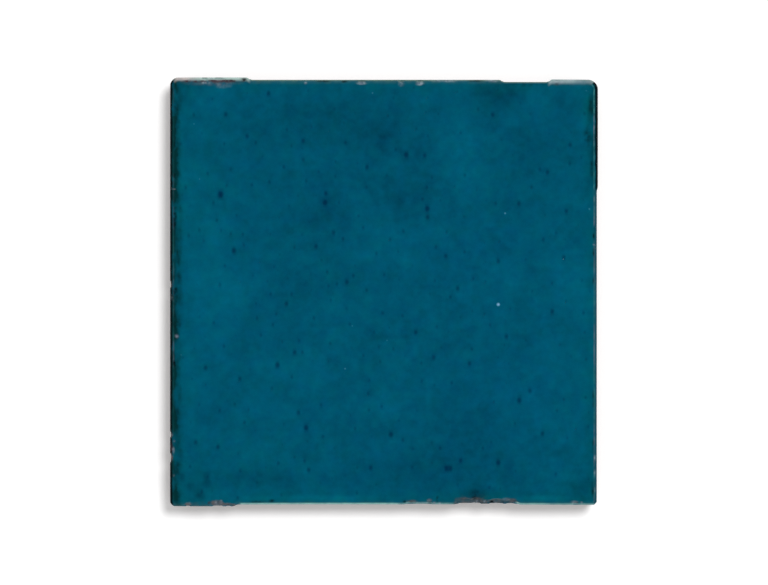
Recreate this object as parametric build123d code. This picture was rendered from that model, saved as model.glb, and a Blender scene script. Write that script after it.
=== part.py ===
from build123d import *
import os
from math import cos, hypot, pi, radians, sin, tan

# A square glazed wall tile with the uneven edges and rolling face of a handmade one. It lies on
# its back: X is its width, Y is its length, and +Z is out of the glazed face. The origin is under
# the middle of the tile, on the plane of its back. All lengths are in millimetres.

# Overall size
TILE_WIDTH = 100.0
TILE_LENGTH = 100.0
TILE_THICKNESS = 10.0  # from the back to the mean level of the glazed face

# Sides and arris
SIDE_DRAFT = 3.0  # degrees that each side leans in towards the back
ARRIS_RADIUS = 0.5  # rounding between the glazed face and the sides
BACK_BEVEL = 0.6  # bevel round the back
STEP_RUN = 0.8  # length over which an edge steps in or out
BEND_SHARE = 0.42  # part of the shorter run beside a bend that its arc takes up

# Glazed face
PILLOW_DROP = 0.3  # how far the face falls towards its edges
PILLOW_REACH = 9.0  # how far in from an edge that fall begins
FACE_STEP = 4.5  # spacing of the points that the rolling face is drawn through
FACE_OVERHANG = 4.0  # how far the face's surface runs past the tile before it is trimmed
FACE_TOLERANCE = 0.003

# Keyed back: a honeycomb of shallow pockets that the adhesive grips
KEY_WIDTH = 7.6  # width of a pocket's mouth, from flat to flat
KEY_RIB = 2.2  # width of the ribs between pockets
KEY_BORDER = 4.8  # least width of the flat land left round the pockets
KEY_DEPTH = 0.8
KEY_DRAFT = 35.0  # degrees that a pocket's walls lean, so that the press lets go of them

# The four edges, anticlockwise from above. Each has its first corner and the way it runs, as X and
# Y signs, and then its line: how far along the edge a point is, as a share of the edge, and how
# far in it is from the tile's square outline, or out past it where that is under nought. Two
# points at one place along the edge are a step.
EDGES = {
    "bottom": {
        "corner": (-1, -1),
        "along": (1, 0),
        "line": [
            (0.0, 0.03), (0.152, 0.0), (0.152, 0.42), (0.40, 0.46), (0.55, 0.44), (0.55, 0.58),
            (0.61, 0.58), (0.61, 0.46), (0.668, 0.46), (0.668, 0.64), (0.815, 0.60), (0.815, 0.40),
            (1.0, 0.34),
        ],
    },
    "right": {
        "corner": (1, -1),
        "along": (0, 1),
        "line": [(0.0, 0.26), (0.742, 0.24), (0.742, 0.0), (1.0, 0.0)],
    },
    "top": {
        "corner": (1, 1),
        "along": (-1, 0),
        "line": [
            (0.0, 0.26), (0.1135, 0.18), (0.1135, 0.80), (0.225, 0.78), (0.225, 0.28),
            (0.815, 0.28), (0.815, -0.28), (1.0, -0.28),
        ],
    },
    "left": {
        "corner": (-1, 1),
        "along": (0, -1),
        "line": [(0.0, 0.0), (1.0, 0.0)],
    },
}

# How much rounder than its arris the tile is, from above, at the first corner of each edge
CORNER_EASE = {"bottom": 0.4, "right": 0.15, "top": 1.4, "left": 1.0}

# The swells of the face: spacing of the crests, heading in degrees, place of a crest as a share of
# the spacing, and height over the mean level
SWELLS = (
    (74.0, 18.0, 0.15, 0.11),
    (46.0, 108.0, 0.60, 0.06),
    (29.0, 61.0, 0.35, 0.03),
)

# Chips out of the arris: edge, place along it as a share, length, reach in over the glazed face,
# and depth down the side
CHIPS = (
    ("bottom", 0.041, 2.4, 1.0, 0.6),
    ("bottom", 0.112, 4.6, 1.8, 0.7),
    ("bottom", 0.136, 3.6, 1.0, 0.6),
    ("bottom", 0.562, 3.0, 0.9, 0.5),
    ("bottom", 0.606, 1.6, 0.8, 0.5),
    ("bottom", 0.690, 5.4, 1.8, 0.8),
    ("bottom", 0.714, 3.8, 2.7, 0.9),
    ("bottom", 0.762, 6.4, 1.5, 0.8),
    ("bottom", 0.795, 5.0, 1.3, 0.7),
    ("bottom", 0.947, 2.2, 0.8, 0.5),
    ("top", 0.097, 2.6, 0.8, 0.4),
    ("top", 0.416, 2.2, 1.0, 0.5),
    ("top", 0.460, 2.2, 1.0, 0.4),
    ("top", 0.552, 3.0, 0.9, 0.4),
    ("top", 0.886, 4.6, 0.9, 0.5),
    ("top", 0.920, 2.2, 1.2, 0.5),
    ("left", 0.481, 2.2, 0.5, 1.4),
    ("left", 0.832, 2.2, 0.5, 1.4),
    ("left", 0.886, 2.8, 0.6, 1.5),
)


def edge_length(edge):
    along_x, along_y = edge["along"]
    return abs(along_x) * TILE_WIDTH + abs(along_y) * TILE_LENGTH


def edge_point(edge, distance, inset):
    """The point at a distance along an edge and an inset from the tile's square outline."""
    corner_x, corner_y = edge["corner"]
    along_x, along_y = edge["along"]
    inward_x, inward_y = -along_y, along_x
    return Vector(
        corner_x * TILE_WIDTH / 2 + along_x * distance + inward_x * inset,
        corner_y * TILE_LENGTH / 2 + along_y * distance + inward_y * inset,
    )


def edge_stations(edge):
    """Distances along an edge with their insets, each step spread over its run."""
    length = edge_length(edge)
    places = [share for share, inset in edge["line"]]
    stations = []
    for index, (share, inset) in enumerate(edge["line"]):
        distance = share * length
        if share in places[:index]:
            distance += STEP_RUN / 2
        elif share in places[index + 1:]:
            distance -= STEP_RUN / 2
        stations.append((distance, inset))
    return stations


def inset_at(edge, distance):
    """How far in the edge's line is at a distance along it."""
    stations = edge_stations(edge)
    for (start, start_inset), (end, end_inset) in zip(stations, stations[1:]):
        if start <= distance <= end:
            break
    return start_inset + (end_inset - start_inset) * (distance - start) / (end - start)


def bend_radius(before, here, after):
    """The radius of an arc that takes up the bend's share of the shorter run beside it."""
    shorter = min((here - before).length, (after - here).length)
    half_turn = radians((here - before).get_angle(after - here)) / 2
    return BEND_SHARE * shorter / tan(half_turn)


def side_lean(height):
    """How far in the sides lean at a height, from their full size just under the arris."""
    arris_foot = TILE_THICKNESS - PILLOW_DROP - ARRIS_RADIUS
    return (arris_foot - height) * tan(radians(SIDE_DRAFT))


def tile_outline(height, lean):
    """The outline at a height, leaning in by so much: uneven runs joined by tangent arcs."""
    points = []
    corner_radii = []
    last_edge = list(EDGES.values())[-1]
    for name, edge in EDGES.items():
        stations = edge_stations(edge)
        points.append(edge_point(edge, last_edge["line"][-1][1] + lean, stations[0][1] + lean))
        corner_radii.append(ARRIS_RADIUS + CORNER_EASE[name])
        for distance, inset in stations[1:-1]:
            points.append(edge_point(edge, distance, inset + lean))
            corner_radii.append(None)
        last_edge = edge
    afters = points[1:] + points[:1]
    radii = [
        corner_radius or bend_radius(points[index - 1], points[index], afters[index])
        for index, corner_radius in enumerate(corner_radii)
    ]
    return Pos(0, 0, height) * make_face(FilletPolyline(*points, radius=radii, close=True))


def face_height(x, y):
    """The height of the glazed face: mean level, swells, and the fall towards the edges."""
    height = TILE_THICKNESS
    for spacing, heading, crest, rise in SWELLS:
        travel = x * cos(radians(heading)) + y * sin(radians(heading))
        height += rise * cos(2 * pi * (travel / spacing - crest))
    for place, size in ((x, TILE_WIDTH), (y, TILE_LENGTH)):
        from_edge = size / 2 - abs(place)
        height -= PILLOW_DROP * max(0.0, 1 - from_edge / PILLOW_REACH) ** 2
    return height


def spread(size):
    """Evenly spaced places that reach past both ends of a size."""
    reach = size / 2 + FACE_OVERHANG
    steps = round(2 * reach / FACE_STEP)
    return [reach * (2 * index / steps - 1) for index in range(steps + 1)]


def rolling_face():
    """The surface of the glazed face, drawn through a grid of its heights."""
    heights = [
        [Vector(x, y, face_height(x, y)) for y in spread(TILE_LENGTH)]
        for x in spread(TILE_WIDTH)
    ]
    return Face.make_surface_from_array_of_points(heights, FACE_TOLERANCE, min_deg=3, max_deg=3)


def tile_blank():
    """The pressed body: sides that lean in towards a bevelled back, under the rolling face."""
    crests = sum(rise for spacing, heading, crest, rise in SWELLS)
    top = TILE_THICKNESS + crests + ARRIS_RADIUS
    sections = [
        tile_outline(0, side_lean(0) + BACK_BEVEL),
        tile_outline(BACK_BEVEL, side_lean(BACK_BEVEL)),
        tile_outline(top, side_lean(top)),
    ]
    return loft(sections, ruled=True).split(rolling_face(), keep=Keep.BOTTOM)


def round_arris(body):
    """Round the edge between the glazed face and the sides."""
    glazed_face = body.faces().sort_by(Axis.Z)[-1]
    return fillet(glazed_face.edges(), ARRIS_RADIUS)


def key_places():
    """Where the pockets are: rows half a pitch out of step, as many as the back has room for."""
    land = side_lean(0) + BACK_BEVEL + KEY_BORDER
    pitch = KEY_WIDTH + KEY_RIB
    slant = cos(radians(30))
    columns = int((TILE_WIDTH - 2 * land - KEY_WIDTH) // pitch) + 1
    rows = int((TILE_LENGTH - 2 * land - KEY_WIDTH / slant) // (pitch * slant)) + 1
    places = []
    for row in range(rows):
        in_row = columns - row % 2
        for column in range(in_row):
            x = (column - (in_row - 1) / 2) * pitch
            y = (row - (rows - 1) / 2) * pitch * slant
            places.append(Pos(x, y))
    return places


def key_pockets():
    """The pockets of the keyed back, each narrowing upwards into the tile."""
    mouth = RegularPolygon(KEY_WIDTH / 2, side_count=6, major_radius=False, rotation=30)
    pocket = extrude(mouth, amount=KEY_DEPTH, taper=KEY_DRAFT)
    return [place * pocket for place in key_places()]


def chip_scoop(edge_name, share, length, reach, depth):
    """A ball that scoops a shell-shaped chip out of the arris."""
    edge = EDGES[edge_name]
    distance = share * edge_length(edge)
    arris = edge_point(edge, distance, inset_at(edge, distance))
    arris = Vector(arris.X, arris.Y, face_height(arris.X, arris.Y))
    along_x, along_y = edge["along"]
    outward = Vector(along_y, -along_x)
    break_normal = (outward * depth + Vector(0, 0, reach)).normalized()
    bite = depth * reach / hypot(depth, reach)
    radius = ((length / 2) ** 2 + bite**2) / (2 * bite)
    return Pos(arris + break_normal * (radius - bite)) * Sphere(radius)


def wall_tile():
    """The whole tile, pressed, keyed, glazed and chipped."""
    body = round_arris(tile_blank())
    body -= key_pockets()
    body -= [chip_scoop(*chip) for chip in CHIPS]
    return body


tile = wall_tile()
os.makedirs("parts", exist_ok=True)
export_step(tile, "parts/tile.step")
print("tile", round(tile.volume / 1000, 2), "cm3,", tile.bounding_box().size)
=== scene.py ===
# %% [markdown]
# A handmade wall tile is a square of pressed clay under a pool of coloured glass. Its edges wander,
# its face rolls, and the glaze is darker wherever it lies thicker: in pits, in hollows and where it
# has run to an edge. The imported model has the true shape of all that, but in flat facets. This
# lesson lays a fine new skin over it, presses the small pits into the skin, breaks the chips open
# and colours the glaze and the clay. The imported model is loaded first, because everything is
# measured from it.

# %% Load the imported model
from math import cos, pi, radians, sin, tan
import bmesh
import bpy
import numpy as np
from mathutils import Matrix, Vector
from mathutils.bvhtree import BVHTree
from mathutils.geometry import delaunay_2d_cdt
from mathutils.kdtree import KDTree


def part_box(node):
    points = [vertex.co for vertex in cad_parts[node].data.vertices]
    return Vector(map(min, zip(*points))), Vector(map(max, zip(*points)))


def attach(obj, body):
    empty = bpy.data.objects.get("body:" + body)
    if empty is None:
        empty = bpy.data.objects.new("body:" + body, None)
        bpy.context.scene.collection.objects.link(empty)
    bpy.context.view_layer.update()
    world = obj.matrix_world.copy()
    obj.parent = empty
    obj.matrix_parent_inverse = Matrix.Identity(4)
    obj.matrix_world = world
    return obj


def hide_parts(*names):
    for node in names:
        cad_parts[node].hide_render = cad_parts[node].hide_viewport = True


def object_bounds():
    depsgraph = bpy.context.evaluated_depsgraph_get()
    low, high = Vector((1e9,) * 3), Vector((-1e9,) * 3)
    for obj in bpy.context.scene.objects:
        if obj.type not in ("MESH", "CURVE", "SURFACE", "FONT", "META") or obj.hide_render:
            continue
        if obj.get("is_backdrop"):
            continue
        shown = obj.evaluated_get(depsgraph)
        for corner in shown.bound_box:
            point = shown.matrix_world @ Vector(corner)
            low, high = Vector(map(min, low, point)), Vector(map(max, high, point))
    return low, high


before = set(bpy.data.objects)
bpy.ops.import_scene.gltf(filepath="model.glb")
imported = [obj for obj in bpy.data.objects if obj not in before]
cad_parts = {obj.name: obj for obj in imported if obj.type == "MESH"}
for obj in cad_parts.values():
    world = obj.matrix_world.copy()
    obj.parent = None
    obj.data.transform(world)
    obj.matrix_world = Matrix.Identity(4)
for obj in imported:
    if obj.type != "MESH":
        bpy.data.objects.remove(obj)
cad_low, cad_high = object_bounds()
MM = 0.001
tile_low, tile_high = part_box("tile")
half_side = tile_high.x / MM
print("tile", [round(size / MM, 2) for size in tile_high - tile_low], "mm")

# %% [markdown]
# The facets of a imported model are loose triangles, each with corners of its own. They could be
# used as they are, but then nothing could be traced from one face to the next. A copy with its
# corners welded is a closed surface, and a tree of its faces finds quickly where a straight line
# meets it. That is how the new skin feels its way over the old one.

# %% Weld a copy and make it ready to be felt
WELD = 0.001  # mm
welded = bmesh.new()
welded.from_mesh(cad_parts["tile"].data)
bmesh.ops.remove_doubles(welded, verts=welded.verts, dist=WELD * MM)
surface = BVHTree.FromBMesh(welded)
open_edges = [edge for edge in welded.edges if len(edge.link_faces) != 2]
print("welded", len(welded.verts), "corners,", len(open_edges), "open edges")


def feel(start, towards):
    """Where a line from one point towards another first meets the tile, all in mm, or None."""
    place = surface.ray_cast(start * MM, (towards - start).normalized())[0]
    return place and place / MM


# %% [markdown]
# The back of the tile, with its honeycomb of shallow pockets, is flat walls and crisp edges. Flat
# facets are right for it, so the lowest slice of the copy is kept as it is, and only the sides and
# the glazed face above the cut are made anew. The cut leaves one loop of edges round the tile. It
# is divided evenly, and each of its corners becomes the foot of a column of new faces.

# %% Keep the back and walk round the cut
CUT_HEIGHT = 1.5  # mm, above the bevel round the back
SHORTEST_EDGE = 0.08  # mm
COLUMN_SPACING = 0.22  # mm
bmesh.ops.bisect_plane(
    welded, geom=list(welded.verts) + list(welded.edges) + list(welded.faces),
    plane_co=(0, 0, CUT_HEIGHT * MM), plane_no=(0, 0, 1), clear_outer=True,
)
cut_corners = [corner for corner in welded.verts if corner.is_boundary]
bmesh.ops.remove_doubles(welded, verts=cut_corners, dist=SHORTEST_EDGE * MM)
edges_by_pieces = {}
for edge in welded.edges:
    if edge.is_boundary:
        pieces = max(1, round(edge.calc_length() / (COLUMN_SPACING * MM)))
        edges_by_pieces.setdefault(pieces, []).append(edge)
for pieces, edges in edges_by_pieces.items():
    bmesh.ops.bisect_edges(welded, edges=edges, cuts=pieces - 1)


def walk_round(mesh):
    """The corners of a mesh's open loop, anticlockwise from above, from the one nearest -X-Y."""
    neighbours = {}
    for edge in mesh.edges:
        if edge.is_boundary:
            for corner in edge.verts:
                neighbours.setdefault(corner, []).append(edge.other_vert(corner))
    first = min(neighbours, key=lambda corner: corner.co.x + corner.co.y)
    loop = [first, max(neighbours[first], key=lambda corner: corner.co.x)]
    while loop[-1] is not first:
        before, here = loop[-2:]
        loop.append(next(corner for corner in neighbours[here] if corner is not before))
    return loop[:-1]


cut_loop = walk_round(welded)
columns = len(cut_loop)
print("columns", columns)

# %% [markdown]
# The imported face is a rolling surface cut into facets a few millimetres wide, and gloss would show
# each of them. The true surface has to be guessed from them. Blurring their heights would flatten
# the fall towards the edges, so a sum of smooth waves is fitted to heights felt all over the face.
# The chips lie below it, so the fit is made again without the heights that fall short of the first.

# %% Fit a smooth face to the facets
FIT_ORDER = 14  # waves along each side
FIT_SPACING = 1.6  # mm between the places where the height is felt
FIT_EDGE = 1.6  # mm, the arris and the edge's wandering, which the fit leaves out
FIT_ROUNDS = 4
CHIP_TOLERANCE = 0.05  # mm that a height may fall short of the face before it is a chip's
SKY = 20.0  # mm, a height above everything

felt_line = np.linspace(FIT_EDGE - half_side, half_side - FIT_EDGE, round(2 * half_side / FIT_SPACING))
felt = [feel(Vector((x, y, SKY)), Vector((x, y, 0))) for x in felt_line for y in felt_line]
felt = np.array([place for place in felt if place])


def wave_terms(x, y):
    return np.polynomial.chebyshev.chebvander2d(x / half_side, y / half_side, [FIT_ORDER] * 2)


def face_height(x, y):
    """The height of the smooth face, in mm."""
    return wave_terms(np.asarray(x), np.asarray(y)) @ face_waves


for fit in range(FIT_ROUNDS):
    face_waves = np.linalg.lstsq(wave_terms(felt[:, 0], felt[:, 1]), felt[:, 2], rcond=None)[0]
    misfit = felt[:, 2] - face_height(felt[:, 0], felt[:, 1])
    felt = felt[misfit > -CHIP_TOLERANCE]
    print("face fitted to", len(misfit), "heights, off by", round(float(np.abs(misfit).max()), 3), "mm")

# %% [markdown]
# Each column now rises from the cut, up the leaning side, over the rounded arris and a little way
# in over the face. Its direction inwards is straight across the side, and turns towards the middle
# of the tile near a corner, so that columns never cross there. The rows follow the side's slope,
# the arris's quarter round and the fitted face. Then each point is felt for: where the packed
# surface lies deeper than it should, the tile is chipped, and the point drops to the chip's floor.

# %% Where the columns stand and which way they face
SIDE_DRAFT = radians(3.0)
ARRIS_RADIUS = 0.5  # mm
ARRIS_LEVEL = 9.2  # mm, the height at which the sides have their full size
CORNER_TURN = (36.0, 48.0)  # mm from the middle, where a column starts and ends its turn
SLACK = 0.002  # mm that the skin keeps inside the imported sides

foot = np.array([corner.co / MM for corner in cut_loop])[:, :2]


def smooth_share(value, start, end):
    """0 at start, rising smoothly to 1 at end."""
    share = np.clip((value - start) / (end - start), 0.0, 1.0)
    return share * share * (3 - 2 * share)


outward = np.sign(foot) * smooth_share(np.abs(foot), *CORNER_TURN)
along = np.roll(foot, -1, axis=0) - np.roll(foot, 1, axis=0)
square_out = np.stack([along[:, 1], -along[:, 0]], axis=1)
square_out /= np.linalg.norm(square_out, axis=1)[:, None]
slant = (outward * square_out).sum(axis=1)  # how much of a step outward is square to the edge
lean = (ARRIS_LEVEL - CUT_HEIGHT) * tan(SIDE_DRAFT) - SLACK
full = foot + outward * (lean / slant)[:, None]
print("slant from", round(float(slant.min()), 2), "to", round(float(slant.max()), 2))


def stand(inset, height):
    """Points on every column, so far in from the edge and at such a height."""
    return np.column_stack([
        full - outward * np.reshape(inset, (-1, 1)), np.broadcast_to(height, columns)
    ])


# %% Draw the rows of the rim
SIDE_ROWS = 5
ARRIS_ROWS = 6
FACE_ROWS = 13
RIM_WIDTH = 3.0  # mm of the face that belongs to the rim

crown = full - outward * (ARRIS_RADIUS / slant)[:, None]
arris_foot = face_height(crown[:, 0], crown[:, 1]) - ARRIS_RADIUS
arris_in = (ARRIS_LEVEL - arris_foot) * tan(SIDE_DRAFT)
rows = []
for share in np.linspace(0, 1, SIDE_ROWS + 1)[1:-1]:
    height = CUT_HEIGHT + (arris_foot - CUT_HEIGHT) * share
    rows.append(((ARRIS_LEVEL - height) * tan(SIDE_DRAFT) / slant, height))
for turn in np.linspace(0, pi / 2, ARRIS_ROWS + 1)[:-1]:
    inset = (arris_in + ARRIS_RADIUS * (1 - cos(turn))) / slant
    rows.append((inset, arris_foot + ARRIS_RADIUS * sin(turn)))
arris_end = (arris_in + ARRIS_RADIUS) / slant
for share in np.linspace(0, 1, FACE_ROWS + 1):
    inset = arris_end + (RIM_WIDTH - arris_end) * share
    flat = stand(inset, 0)
    rows.append((inset, face_height(flat[:, 0], flat[:, 1])))
rim = np.array([stand(inset, height) for inset, height in rows])
rim_inset = np.array([inset * slant for inset, height in rows])
print("rim", rim.shape[0], "rows of", rim.shape[1])

# %% Feel for the chips
CHIP_START = 0.06  # mm of depth at which a chip begins
HEART_LEVEL = 6.5  # mm, below every chip
STAND_OFF = 1.5  # mm outside the skin, where feeling starts

heart = stand(RIM_WIDTH, HEART_LEVEL)
chip_depth = np.zeros(rim.shape[:2])
for row, points in enumerate(rim):
    for column, point in enumerate(points):
        if point[2] < HEART_LEVEL:
            continue
        aim = Vector(heart[column])
        start = Vector(point)
        away = (start - aim).normalized()
        found = feel(start + away * STAND_OFF, aim)
        depth = (start - found).dot(away) if found else 0
        if depth > CHIP_START:
            chip_depth[row, column] = depth
            rim[row, column] = found
print("chipped points", int((chip_depth > 0).sum()), "deepest", round(float(chip_depth.max()), 2), "mm")

# %% [markdown]
# A shader or a geometry tree is a net of nodes. Linking them one by one makes long code that hides
# what is being worked out, so two small classes are made first. One wraps a node's output and can
# be added, subtracted, multiplied and divided as a number can, and each sign adds a Math node. The
# other wraps a tree and adds any other node in one call: its type, its settings, then its inputs.

# %% Write node trees as sums


class Value:
    """An output of a node, which Python's signs can reckon with."""

    def __init__(self, nodes, socket):
        self.nodes = nodes
        self.socket = socket

    def other(self, name):
        """Another output of the same node."""
        return Value(self.nodes, self.socket.node.outputs[name])


def reckoning(operation, turned_round=False):
    """A method that adds a Math node for a sign."""
    def reckon(self, value):
        return self.nodes.maths(operation, *((value, self) if turned_round else (self, value)))
    return reckon


SIGNS = {"add": "ADD", "sub": "SUBTRACT", "mul": "MULTIPLY", "truediv": "DIVIDE"}
for sign, operation in SIGNS.items():
    setattr(Value, f"__{sign}__", reckoning(operation))
    setattr(Value, f"__r{sign}__", reckoning(operation, turned_round=True))


class Nodes:
    """A node tree that grows one call at a time."""

    def __init__(self, tree):
        self.tree = tree
        tree.nodes.clear()

    def plug(self, socket, value):
        """Give an input a value, or link an output to it."""
        if isinstance(value, Value):
            self.tree.links.new(value.socket, socket)
        else:
            socket.default_value = value

    def add(self, kind, settings=None, inputs=None, output=0):
        """Add a node, settings first, and return one of its outputs."""
        node = self.tree.nodes.new(kind)
        for name, setting in (settings or {}).items():
            setattr(node, name, setting)
        for name, value in (inputs or {}).items():
            self.plug(node.inputs[name], value)
        return Value(self, node.outputs[output]) if node.outputs else node

    def maths(self, operation, *values):
        return self.add("ShaderNodeMath", {"operation": operation}, dict(enumerate(values)))

    def vector(self, operation, *values, output=0):
        return self.add("ShaderNodeVectorMath", {"operation": operation}, dict(enumerate(values)), output)

    def fade(self, value, start, end):
        """0 at start, changing smoothly to 1 at end."""
        return self.add(
            "ShaderNodeMapRange", {"interpolation_type": "SMOOTHSTEP"},
            {"Value": value, "From Min": start, "From Max": end},
        )

    def patches(self, place, size, detail=2.0):
        """Cloudy noise round one half, with patches about so many mm wide."""
        return self.add(
            "ShaderNodeTexNoise", {},
            {"Vector": place, "Scale": 1 / (size * MM), "Detail": detail},
        )

    def mix(self, share, first, second):
        """Colour going from the first to the second as the share goes from 0 to 1."""
        return self.add(
            "ShaderNodeMix", {"data_type": "RGBA"}, {0: share, 6: first, 7: second}, output=2
        )

    def parts(self, vector):
        """The X, the Y and the Z of a vector."""
        x = self.add("ShaderNodeSeparateXYZ", {}, {0: vector})
        return x, x.other("Y"), x.other("Z")


print("signs for", ", ".join(SIGNS.values()).lower())

# %% [markdown]
# Geometry Nodes suit what repeats over a surface. A tree is built here as a group with named
# inputs, each with a default. It is run by hanging it on an object as a modifier, reading back the
# evaluated mesh and taking the modifier off again, so that what is left is a plain mesh.

# %% Build a geometry tree and run it
SOCKET_KINDS = {
    float: "NodeSocketFloat", int: "NodeSocketInt", str: "NodeSocketString",
    bpy.types.Object: "NodeSocketObject", bpy.types.Material: "NodeSocketMaterial",
}


class GeometryTree(Nodes):
    """A geometry node group with named inputs."""

    def __init__(self, name, kinds):
        super().__init__(bpy.data.node_groups.new(name, "GeometryNodeTree"))
        ports = self.tree.interface
        ports.new_socket("Geometry", in_out="INPUT", socket_type="NodeSocketGeometry")
        ports.new_socket("Geometry", in_out="OUTPUT", socket_type="NodeSocketGeometry")
        self.ports = {
            port: ports.new_socket(port, in_out="INPUT", socket_type=SOCKET_KINDS[kind]).identifier
            for port, kind in {**kinds, "Material": bpy.types.Material}.items()
        }
        self.given = self.add("NodeGroupInput")

    def number(self, name):
        """A number that the corners carry under a name."""
        return self.add("GeometryNodeInputNamedAttribute", {"data_type": "FLOAT"}, {"Name": name})

    def store(self, geometry, name, value):
        """Give the corners a number under a name."""
        return self.add(
            "GeometryNodeStoreNamedAttribute", {"data_type": "FLOAT", "domain": "POINT"},
            {"Geometry": geometry, "Name": name, "Value": value},
        )

    def sample(self, geometry, index, value, kind="FLOAT"):
        """What a value is at one corner of a geometry."""
        return self.add(
            "GeometryNodeSampleIndex", {"data_type": kind, "domain": "POINT"},
            {"Geometry": geometry, "Value": value, "Index": index},
        )

    def end(self, geometry):
        """Realize what the tree made, give it its material and send it out."""
        real = self.add("GeometryNodeRealizeInstances", {}, {"Geometry": geometry})
        finished = self.add(
            "GeometryNodeSetMaterial", {},
            {"Geometry": real, "Material": self.given.other("Material")},
        )
        self.add("NodeGroupOutput", {}, {"Geometry": finished})

    def run(self, thing, **values):
        """Run the tree on an object and return the plain mesh that it makes."""
        modifier = thing.modifiers.new("tree", "NODES")
        modifier.node_group = self.tree
        for port, value in values.items():
            modifier[self.ports[port]] = value
        view = bpy.context.evaluated_depsgraph_get()
        made = bpy.data.meshes.new_from_object(
            thing.evaluated_get(view), preserve_all_data_layers=True, depsgraph=view
        )
        thing.modifiers.remove(modifier)
        return made


def put_in_scene(name, mesh):
    thing = bpy.data.objects.new(name, mesh)
    bpy.context.scene.collection.objects.link(thing)
    return thing


glaze = bpy.data.materials.new("petrol_glaze")
glaze.use_nodes = True
print("material", glaze.name)

# %% [markdown]
# Bubbles in the molten glaze burst and leave small pits, a few of them plain to see and many more
# that are only just there. The plain ones are listed one by one, because their places give this tile
# its own face. The faint ones could be placed by hand too, but they follow a rule, at random and
# never too close together, so a tree strews them over a flat sheet and gives each a width.

# %% List the plain pits
# Width across in mm, then the pits of about that width, from the middle of the tile
PLAIN_PITS = {
    2.0: [(-38.2, 22.9)],
    1.6: [
        (-13.8, 21), (5.2, 32.2), (-35.1, 9.8), (-24.9, -16.9), (31.6, -25.2), (1.6, -33.2),
        (26.7, -39.8), (10.1, 19.6), (14.6, -41.1), (15.5, -41.1), (-18.2, -31.6),
    ],
    1.3: [
        (25.4, 41.5), (26.7, 7.3), (7.4, -9.3), (-38.8, -36.1), (-44, -35), (-11.8, 14), (-13.6, 23.2),
        (-32, 36.5), (-37, 41.6), (-18.9, 35.4), (-27, 46.5), (10.2, 17.6), (-4, 29.3), (9.5, 32),
        (43.5, 34.5), (38.2, 28.1), (31.5, 20.8), (42.6, 19), (-15.9, 10.8), (14.4, 8.5), (42, 8.2),
        (-8.7, 2.4), (17.2, 0.9), (-22.8, -2.6), (-20.9, -14), (11.6, -15.1), (20, -16.6), (34.1, -23),
        (-20, -28.1), (-17.6, -41.5), (-3.1, -41), (17.9, -39.3), (37, -33), (28.6, -10.3),
        (39.3, -4.4), (-41.7, -17.6), (-33.7, -20.2),
    ],
    1.0: [
        (-30, 35), (-9, 35), (10, 24.5), (43.4, 30.1), (36.4, 28.7), (26.1, 20.8), (-33, 13.6),
        (-1.8, 9.1), (12.1, 10.6), (-7.2, 3.9), (-13, 1.5), (15.5, -1.1), (-21.6, -0.4), (-19.1, -14),
        (-37.4, -12.6), (20.5, -13.2), (-32.6, -30.4), (-18.6, -39.4), (-24.7, -39.9), (13.1, -36.4),
        (23.1, -36.4), (40.1, -42.5), (24.8, -7.6), (-38.4, -27.6), (-26.5, -0.4), (-25.2, -5),
        (-29.7, -6), (-9.6, 12.5), (-11, 2), (-26, -7.6), (-16.4, -6), (-12.6, -11.9), (-43.2, 14.6),
        (-41.2, 27.8), (-30.9, 25.1), (-26.8, 25.8), (-23.4, 29.3), (-39.1, 16.8), (-35.8, 13.7),
        (-28.8, -10), (-13.3, 4.8), (-8, -7.4), (-39.8, -7.1), (-42.6, -46.5), (46.6, -4.8),
        (40.2, 13.9), (24.6, -45.6), (37.2, 12.3), (4.4, -34.5), (-39.9, 21),
    ],
}
# Blisters are pits that burst late and left a pale rim
BLISTERS = {
    1.1: [(26.7, -2.8)],
    0.7: [(28.3, 18.5)],
    0.6: [(-2.7, 46.6), (-9.1, -17.8), (48, 19.5)],
    0.5: [(-44.4, 39.4), (-43.1, 26.5), (-7.4, -7.8), (0.7, -11.2), (47.3, 47.1), (-47.4, -14.6)],
}


def placed(marks):
    """Rows of X, Y and radius, in mm, from a table of widths and places."""
    return np.array([(x, y, width / 2) for width, places in marks.items() for x, y in places])


print("placed", len(placed(PLAIN_PITS)), "pits and", len(placed(BLISTERS)), "blisters")

# %% Strew the faint pits
FAINT_PITS = {"Spacing": 2.9 * MM, "Density": 80000.0, "Narrow": 0.2 * MM, "Wide": 0.5 * MM, "Seed": 7}
PIT_CLEARANCE = 2.0  # mm that a faint pit keeps from a plain one


def strewing_tree():
    tree = GeometryTree(
        "strew_pits", {"Spacing": float, "Density": float, "Narrow": float, "Wide": float, "Seed": int}
    )
    points = tree.add(
        "GeometryNodeDistributePointsOnFaces", {"distribute_method": "POISSON"},
        {
            "Mesh": tree.given, "Distance Min": tree.given.other("Spacing"),
            "Density Max": tree.given.other("Density"), "Seed": tree.given.other("Seed"),
        },
    )
    radius = tree.add(
        "FunctionNodeRandomValue", {"data_type": "FLOAT"},
        {2: tree.given.other("Narrow"), 3: tree.given.other("Wide"), "Seed": tree.given.other("Seed")},
        output=1,
    )
    named = tree.store(points, "pit_radius", radius)
    tree.end(tree.add("GeometryNodePointsToVertices", {}, {"Points": named}))
    return tree


def read_numbers(mesh, name):
    """A mesh's named number at each corner."""
    numbers = np.zeros(len(mesh.vertices), np.float32)
    mesh.attributes[name].data.foreach_get("value", numbers)
    return numbers


def read_places(mesh):
    """A mesh's corners, in mm."""
    places = np.zeros(len(mesh.vertices) * 3, np.float32)
    mesh.vertices.foreach_get("co", places)
    return places.reshape(-1, 3).astype(float) / MM


def new_mesh(name, places, edges=(), faces=()):
    mesh = bpy.data.meshes.new(name)
    mesh.from_pydata([tuple(place) for place in np.asarray(places) * MM], edges, faces)
    return mesh


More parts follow.
